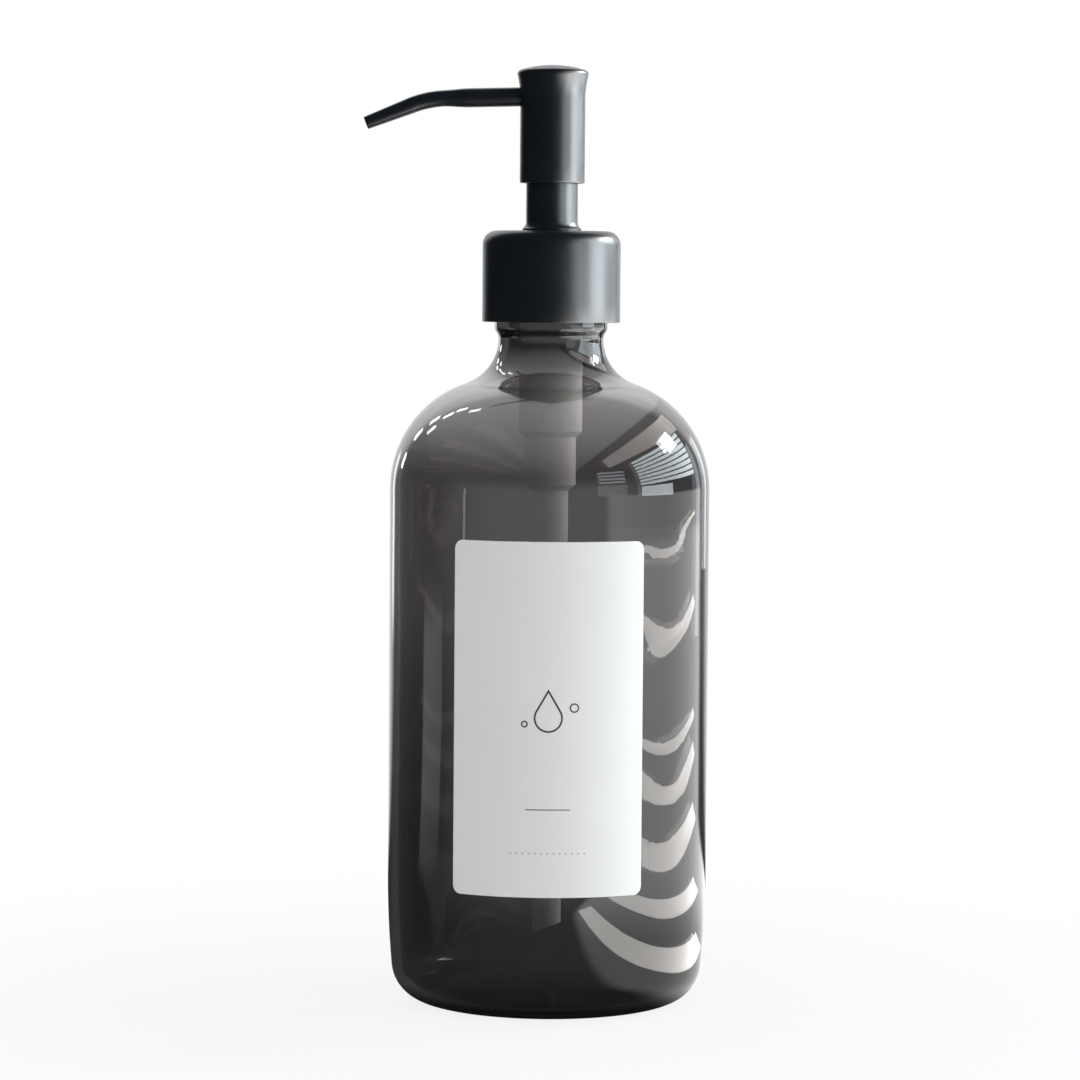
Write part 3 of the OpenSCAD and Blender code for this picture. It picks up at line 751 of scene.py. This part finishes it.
class DISPENSER_OT_head(bpy.types.Operator):
    """Turn the head with its flared rim and domed crown, and cut the hole for the spout."""

    bl_idname = "dispenser.head"
    bl_label = "Pump head"

    def execute(self, context):
        size = context.scene.dispenser_pump
        low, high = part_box("head_shell")
        bottom = low.z
        crown_z = high.z
        flare_z = bottom + size.head_straight
        rim_z = flare_z + size.flare
        edge = size.rim_edge
        rim_x = size.rim - edge
        crown = (rim_x ** 2 + size.crown ** 2 - edge ** 2) / (2 * (size.crown - edge))
        swing = math.degrees(math.asin(rim_x / (crown - edge)))
        small = MM * 0.3
        profile = arc((size.head_bore + small, bottom + small), small, 180, 270, 4)
        profile += arc((size.head - small, bottom + small), small, -90, 0, 4)
        profile += line(profile[-1], (size.head, flare_z), 6)
        flare = size.rim - size.head
        for i in range(13):
            share = i / 12
            profile.append((size.head + flare * share ** 1.6, flare_z + (size.flare - MM * 0.1) * share))
        profile += arc((rim_x, rim_z), edge, 0, 90 - swing, 8)
        profile += arc((0, crown_z - crown), crown, 90 - swing, 90, 12)[1:]
        profile[-1] = (0, crown_z)
        roof = crown_z - size.core_cover
        profile += [(0, roof)] + line((0, roof), (size.head_bore, roof), 4)
        profile += [(size.head_bore, roof)]
        profile += line(profile[-1], (size.head_bore, bottom + small), 8)
        head = turned("pump_head", profile)
        cut_spout_hole(head, context.scene.dispenser_spout, bottom)
        paint(head, satin_black(size))
        place(head, "head", "black_metal", "head_shell")
        return {"FINISHED"}


def cut_spout_hole(head, spout, bottom):
    """Bores the hole that the spout goes through."""
    clear_selection()
    reach = MM * 8
    bpy.ops.mesh.primitive_cylinder_add(vertices=48, radius=spout.radius + MM * 0.03, depth=reach)
    drill = bpy.context.object
    middle = spout.start + reach / 2
    drill.rotation_euler = (0, -math.pi / 2 - spout.tilt, 0)
    drill.location = (
        -middle * math.cos(spout.tilt), 0, bottom + spout.height - middle * math.sin(spout.tilt)
    )
    apply_place(drill)
    clear_selection()
    head.select_set(True)
    bpy.context.view_layer.objects.active = head
    bore = head.modifiers.new("spout_hole", "BOOLEAN")
    bore.operation = "DIFFERENCE"
    bore.solver = "EXACT"
    bore.object = drill
    bpy.ops.object.modifier_apply(modifier=bore.name)
    bpy.data.objects.remove(drill)
    smooth(head)


def spout_path(size, bottom):
    """Places along the spout's axis, each with the slope there and the tube's outside radius."""
    along = size.run + size.narrowing
    bow = size.bend_radius * size.bend
    total = along + bow + size.end
    steps = 90
    path = []
    for i in range(steps + 1):
        reach = size.start + (total - size.start) * i / steps
        bent = min(max(reach - along, 0), bow) / size.bend_radius
        rest = max(0, reach - along - bow)
        ahead = min(reach, along) + size.bend_radius * math.sin(bent) + rest * math.cos(size.bend)
        down = size.bend_radius * (1 - math.cos(bent)) + rest * math.sin(size.bend)
        x = ahead * math.cos(size.tilt) - down * math.sin(size.tilt)
        z = down * math.cos(size.tilt) + ahead * math.sin(size.tilt)
        share = min(max((reach - size.run + MM) / (size.narrowing + 2 * MM), 0), 1)
        ease = share * share * (3 - 2 * share)
        taper = min(max((rest + MM * 2) / (size.end + MM * 2), 0), 1)
        radius = size.radius + (size.bend_tube - size.radius) * ease
        radius += (size.tip - size.bend_tube) * taper
        path.append((Vector((-x, 0, bottom + size.height - z)), size.tilt + bent, radius))
    return path


def swept(name, path, sides):
    """Draws a ring at the first place of a path and extrudes it from place to place into a closed tube."""
    spot, slope, radius = path[0]
    clear_selection()
    bpy.ops.mesh.primitive_circle_add(
        vertices=sides, radius=radius, location=spot, rotation=(0, -math.pi / 2 - slope, 0)
    )
    obj = bpy.context.object
    obj.name = name
    apply_place(obj)
    bpy.ops.object.mode_set(mode="EDIT")
    bpy.ops.mesh.select_mode(type="VERT")
    bpy.ops.mesh.select_all(action="SELECT")
    for before, after in zip(path, path[1:]):
        step = after[0] - before[0]
        bpy.ops.mesh.extrude_region_move(TRANSFORM_OT_translate={"value": tuple(step)})
        turn = after[1] - before[1]
        if abs(turn) > 1e-6:
            bpy.ops.transform.rotate(value=turn, orient_axis="Y", center_override=tuple(after[0]))
        share = after[2] / before[2]
        bpy.ops.transform.resize(value=(share, share, share), center_override=tuple(after[0]))
    shape = bmesh.from_edit_mesh(obj.data)
    for edge in shape.edges:
        edge.select_set(len(edge.link_faces) == 1)
    bmesh.update_edit_mesh(obj.data)
    bpy.ops.mesh.select_mode(type="EDGE")
    bpy.ops.mesh.bridge_edge_loops()
    bpy.ops.mesh.select_all(action="SELECT")
    bpy.ops.mesh.normals_make_consistent(inside=False)
    bpy.ops.object.mode_set(mode="OBJECT")
    smooth(obj)
    return obj


class DISPENSER_OT_spout(bpy.types.Operator):
    """Sweep the bent and tapered spout with its bore."""

    bl_idname = "dispenser.spout"
    bl_label = "Spout"

    def execute(self, context):
        size = context.scene.dispenser_spout
        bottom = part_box("head_shell")[0].z
        path = spout_path(size, bottom)
        tip, slope, radius = path[-1]
        lip = size.wall / 4
        ahead = Vector((-math.cos(slope), 0, -math.sin(slope)))
        rounded = path[:-1]
        for angle in (0, 30, 60, 90):
            out = math.sin(math.radians(angle))
            inward = 1 - math.cos(math.radians(angle))
            rounded.append((tip - ahead * lip * (1 - out), slope, radius - lip * inward))
        for angle in (90, 60, 30, 0):
            out = math.sin(math.radians(angle))
            inward = 1 - math.cos(math.radians(angle))
            inner = radius - size.wall + lip * inward
            rounded.append((tip - ahead * lip * (1 - out), slope, inner))
        rounded += [(p[0], p[1], p[2] - size.wall) for p in path[-2::-1]]
        spout = swept("bent_spout", rounded, 56)
        paint(spout, satin_black(context.scene.dispenser_pump))
        place(spout, "head", "black_metal", "spout")
        return {"FINISHED"}


class DISPENSER_OT_inner(bpy.types.Operator):
    """Finish the pieces that keep their CAD shape."""

    bl_idname = "dispenser.inner"
    bl_label = "Inner pieces"

    def execute(self, context):
        milky = moulded("milky_plastic", (0.74, 0.75, 0.735))
        white = moulded("white_plastic", (0.68, 0.68, 0.67))
        steel = drawn_steel()
        finishes = {
            "housing": milky,
            "dip_tube": moulded("tube_plastic", (0.76, 0.745, 0.755), 0.25),
            "cap_insert": white,
            "chaplet": white,
            "stem": white,
            "piston": white,
            "plunger_tip": white,
            "head_core": white,
            "gasket": foam_seal(),
            "spring": steel,
            "inlet_ball": steel,
        }
        for node, material in finishes.items():
            paint(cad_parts[node], material)
        return {"FINISHED"}


def soft_lamp(name, spot, aim, size, level, colour):
    """An area lamp that faces a point, whose surface is level times as bright as white."""
    clear_selection()
    bpy.ops.object.light_add(type="AREA", location=spot)
    lamp = bpy.context.object
    lamp.name = name
    lamp.data.shape = "RECTANGLE"
    lamp.data.size = size[0]
    lamp.data.size_y = size[1]
    lamp.data.energy = level * math.pi * size[0] * size[1]
    lamp.data.color = colour
    lamp.visible_camera = False
    toward = Vector(aim) - Vector(spot)
    lamp.rotation_euler = toward.to_track_quat("-Z", "Y").to_euler()
    return lamp


SKY = (0.84, 0.95, 1.0)
WARM = (1.0, 0.965, 0.92)
# Point that the lamps and the table's pattern are laid out around
SHOULDER = (0, 0, 0.12)
# Lamps around the shoulder: name, turn, rise, width and height in degrees, level and colour
LAMPS = (
    ("sun", 24, 28, 12, 9, 60, WARM),
    ("pane_far_low", -7, 1.5, 30, 7, 6, SKY),
    ("pane_near_low", -45, 3, 22, 9, 1, SKY),
    ("pane_side", 59, 4, 5, 18, 2, SKY),
    ("frame", 42, 5, 6, 26, 1.5, SKY),
    ("lintel", 2, 38, 84, 11, 2.2, WARM),
)
# Window panes behind blinds: name, turn, lowest and highest rise, width, slat height in degrees, and level
BLINDS = (
    ("pane_far", 8, 8, 30, 60, 2.2, 6),
    ("pane_near", -45, 10, 20, 20, 1.6, 3),
)
BLIND_PITCH = 3
# Lit bands on the table at the right: distance from the axis and width in metres
BANDS = ((0.075, 0.03), (0.165, 0.05), (0.29, 0.055), (0.42, 0.05), (0.54, 0.05), (0.96, 0.09), (1.7, 0.1))
# Small bright spots in mirror-sharp reflections: turn, rise, width and height in degrees, and level
GLINTS = (
    (131, 8, 3.5, 6, 14),
    (131, 20, 3.5, 6, 14),
    (141, 29, 4, 6, 14),
    (132, 30, 3.5, 6, 14),
    (136, 38, 4, 6, 14),
    (135, 45, 4, 6, 14),
    (143, 53, 5, 6, 14),
    (118, 0, 6, 14, 2),
    (-153, -1, 2.2, 8, 3),
)


def far_lamp(name, turn, rise, width, height, level, colour):
    """A lamp a metre from the shoulder, with its direction and its size in degrees."""
    turn = math.radians(turn)
    rise = math.radians(rise)
    centre = Vector(SHOULDER)
    way = Vector((math.cos(turn) * math.cos(rise), math.sin(turn) * math.cos(rise), math.sin(rise)))
    size = [2 * math.tan(math.radians(angle) / 2) for angle in (width, height)]
    return soft_lamp(name, centre + way, centre, size, level, colour)


def ray_kinds(board):
    """1 on camera rays, on reflected, on refracted and on mirror-sharp ones; all show the background."""
    path = board.add("ShaderNodeLightPath").socket.node
    kinds = ("Camera", "Glossy", "Transmission", "Singular")
    camera, glossy, through, sharp = [Wire(board, path.outputs[f"Is {kind} Ray"]) for kind in kinds]
    return camera, glossy * (1 - through), through, sharp


def surroundings(board, way, sharp):
    """Level that a reflection shows: the backdrop behind, the lit table at the right and a dim room.

    A mirror-sharp reflection also shows the ceiling, the room in front, a pale post and small bright spots.
    """
    x, y, z = board.split(board.add("ShaderNodeVectorMath", {"operation": "NORMALIZE"}, {0: way}))
    backdrop = (y + 0.4 * z.most(0.0)).edge(0.8, 0.92)
    near = 0.42 * z.edge(-0.6, -0.3)
    far_part = 1.5 + 1.1 * (1 - z.edge(-0.068, -0.06))
    # foot dims the table close to the bottle: painted shade of the bottle.
    foot = 0.45 + 0.55 * z.edge(-0.8, -0.4)
    table = (x - near).edge(0.2, 0.3) * far_part * foot * (1 - z.edge(-0.03, -0.01))
    ceiling = (z * 0.85 - x).edge(-0.01, 0.03) * z.edge(0.1, 0.95) * 1.6
    # The middle factor of front dims the floor in front close to the bottle: painted shade of the bottle.
    front = (0.1 - y).edge(0.0, 1.0) * (0.3 + 0.7 * z.edge(-0.7, -0.25)) * (1 - z.edge(0.0, 0.3))
    spots = pale_post(x, y, z).most(glints(x, y, z))
    return 0.01 + backdrop.most(table) + sharp * (0.02 + (ceiling + front).most(spots))


def pale_post(x, y, z):
    """A post on the left, as wide as it looks from the bottle at every height."""
    across = 1 - (abs(y) + 0.17 * x).edge(-0.02, 0.01)
    return across * (1 - x.edge(-0.1, 0.0)) * z.edge(-0.5, -0.2) * (1 - z.edge(-0.12, -0.08))


def glints(x, y, z):
    """The brightest of the small spots in a direction."""
    turn = y.math("ARCTAN2", x)
    rise = z.math("ARCSINE")
    brightest = 0.0
    for at, up, width, height, level in GLINTS:
        across = abs(turn - math.radians(at)) / math.radians(width / 2)
        along = abs(rise - math.radians(up)) / math.radians(height / 2)
        spot = (1 - across.most(along).edge(0.7, 1.1)) * level
        brightest = spot.most(brightest)
    return brightest


class DISPENSER_OT_stage(bpy.types.Operator):
    """Set up the camera, the lamps, the pale floor and the white background."""

    bl_idname = "dispenser.stage"
    bl_label = "Stage"

    def execute(self, context):
        size = context.scene.dispenser_stage
        scene = context.scene
        clear_selection()
        spot = (-size.side, -size.distance, size.height)
        bpy.ops.object.camera_add(location=spot)
        camera = context.object
        camera.name = "camera"
        level = Matrix.Rotation(math.pi / 2 - size.pitch, 4, "X")
        roll = Matrix.Rotation(size.roll, 4, "Z")
        camera.matrix_world = Matrix.Translation(spot) @ level @ roll
        camera.data.lens = size.lens
        camera.data.sensor_width = 36
        camera.data.clip_start = 0.01
        camera.data.clip_end = 100
        scene.camera = camera
        self.lamps()
        self.floor()
        self.world(scene)
        scene.view_settings.view_transform = "Standard"
        return {"FINISHED"}

    def lamps(self):
        for lamp in LAMPS:
            far_lamp(*lamp)
        for name, turn, lowest, highest, width, height, level in BLINDS:
            for rise in range(lowest, highest, BLIND_PITCH):
                far_lamp(name, turn, rise, width, height, level, SKY)
        ceiling = soft_lamp("ceiling", (-0.6, -0.4, 1.1), (-0.6, -0.4, 0), (2.7, 3.6), 0.3, WARM)
        ceiling.visible_glossy = False
        for x, width in BANDS:
            low = -0.35 * x if x > 1 else -0.8 * x if x > 0.3 else -2.2 * x
            high = 0.76 * x
            spot = (x, (low + high) / 2, MM)
            band = soft_lamp("band", spot, (spot[0], spot[1], 1), (width, high - low), 5, WARM)
            band.visible_diffuse = False

    def floor(self):
        clear_selection()
        bpy.ops.mesh.primitive_circle_add(vertices=96, radius=6, fill_type="NGON")
        floor = bpy.context.object
        floor.name = "floor"
        board = Board(bpy.data.materials.new("pale_floor"))
        board.finish(Base_Color=rgba((0.5, 0.5, 0.5)), Roughness=0.9)
        point = board.place()
        camera, mirror, through, sharp = ray_kinds(board)
        way = board.add("ShaderNodeVectorMath", {"operation": "SUBTRACT"}, {0: point, 1: SHOULDER})
        x, y, _ = board.split(point)
        radius = (x * x + y * y) ** 0.5
        # Painted shadow: under the bottle's foot the floor shows nothing to reflected and refracted rays.
        outside = radius.edge(0.028, 0.04)
        # Painted shadow: seen through the glass, the floor grows darker towards the bottle, as if the bottle
        # shaded the table behind.
        behind = outside * (0.25 + 0.35 * radius.edge(0.2, 1.5))
        # To reflected rays the floor glows with the surroundings' levels, a painted reflection of a lit table
        # and room.
        level = camera + through * behind + mirror * outside * surroundings(board, way, sharp)
        glow = board.add("ShaderNodeEmission", inputs={"Color": rgba((1, 1, 1)), "Strength": level})
        far = radius.edge(0.06, 0.24)
        share = camera * (0.84 + 0.16 * far) + (mirror + through) * 0.98
        lit = board.add(
            "ShaderNodeMixShader", inputs={0: share, 1: Wire(board, board.shader.outputs[0]), 2: glow}
        )
        board.feed(board.output.inputs[0], lit)
        paint(floor, board.owner)

    def world(self, scene):
        world = bpy.data.worlds.new("studio")
        scene.world = world
        board = Board(world)
        way = board.add("ShaderNodeTexCoord", output="Generated")
        camera, mirror, through, sharp = ray_kinds(board)
        level = camera + through * 0.6 + mirror * surroundings(board, way, sharp)
        fill = (1 - camera - through - mirror) * 0.66
        board.finish(Color=rgba((1, 1, 1)), Strength=level + fill)


class DISPENSER_PT_panel(bpy.types.Panel):
    """Lists the dispenser's pieces in the sidebar."""

    bl_label = "Soap Dispenser"
    bl_idname = "DISPENSER_PT_panel"
    bl_space_type = "VIEW_3D"
    bl_region_type = "UI"
    bl_category = "Dispenser"

    def draw(self, context):
        for operator in OPERATORS:
            self.layout.operator(operator.bl_idname)


OPERATORS = (
    DISPENSER_OT_bottle,
    DISPENSER_OT_label,
    DISPENSER_OT_cap,
    DISPENSER_OT_sleeve,
    DISPENSER_OT_head,
    DISPENSER_OT_spout,
    DISPENSER_OT_inner,
    DISPENSER_OT_stage,
)


def register():
    for group in SETTINGS.values():
        bpy.utils.register_class(group)
    for name, group in SETTINGS.items():
        setattr(bpy.types.Scene, name, PointerProperty(type=group))
    for operator in OPERATORS:
        bpy.utils.register_class(operator)
    bpy.utils.register_class(DISPENSER_PT_panel)


def unregister():
    bpy.utils.unregister_class(DISPENSER_PT_panel)
    for operator in reversed(OPERATORS):
        bpy.utils.unregister_class(operator)
    for name, group in SETTINGS.items():
        delattr(bpy.types.Scene, name)
        bpy.utils.unregister_class(group)


def main():
    register()
    bpy.ops.dispenser.bottle()
    bpy.ops.dispenser.label()
    bpy.ops.dispenser.cap()
    bpy.ops.dispenser.sleeve()
    bpy.ops.dispenser.head()
    bpy.ops.dispenser.spout()
    bpy.ops.dispenser.inner()
    bpy.ops.dispenser.stage()
    clear_selection()


if __name__ == "__main__":
    main()
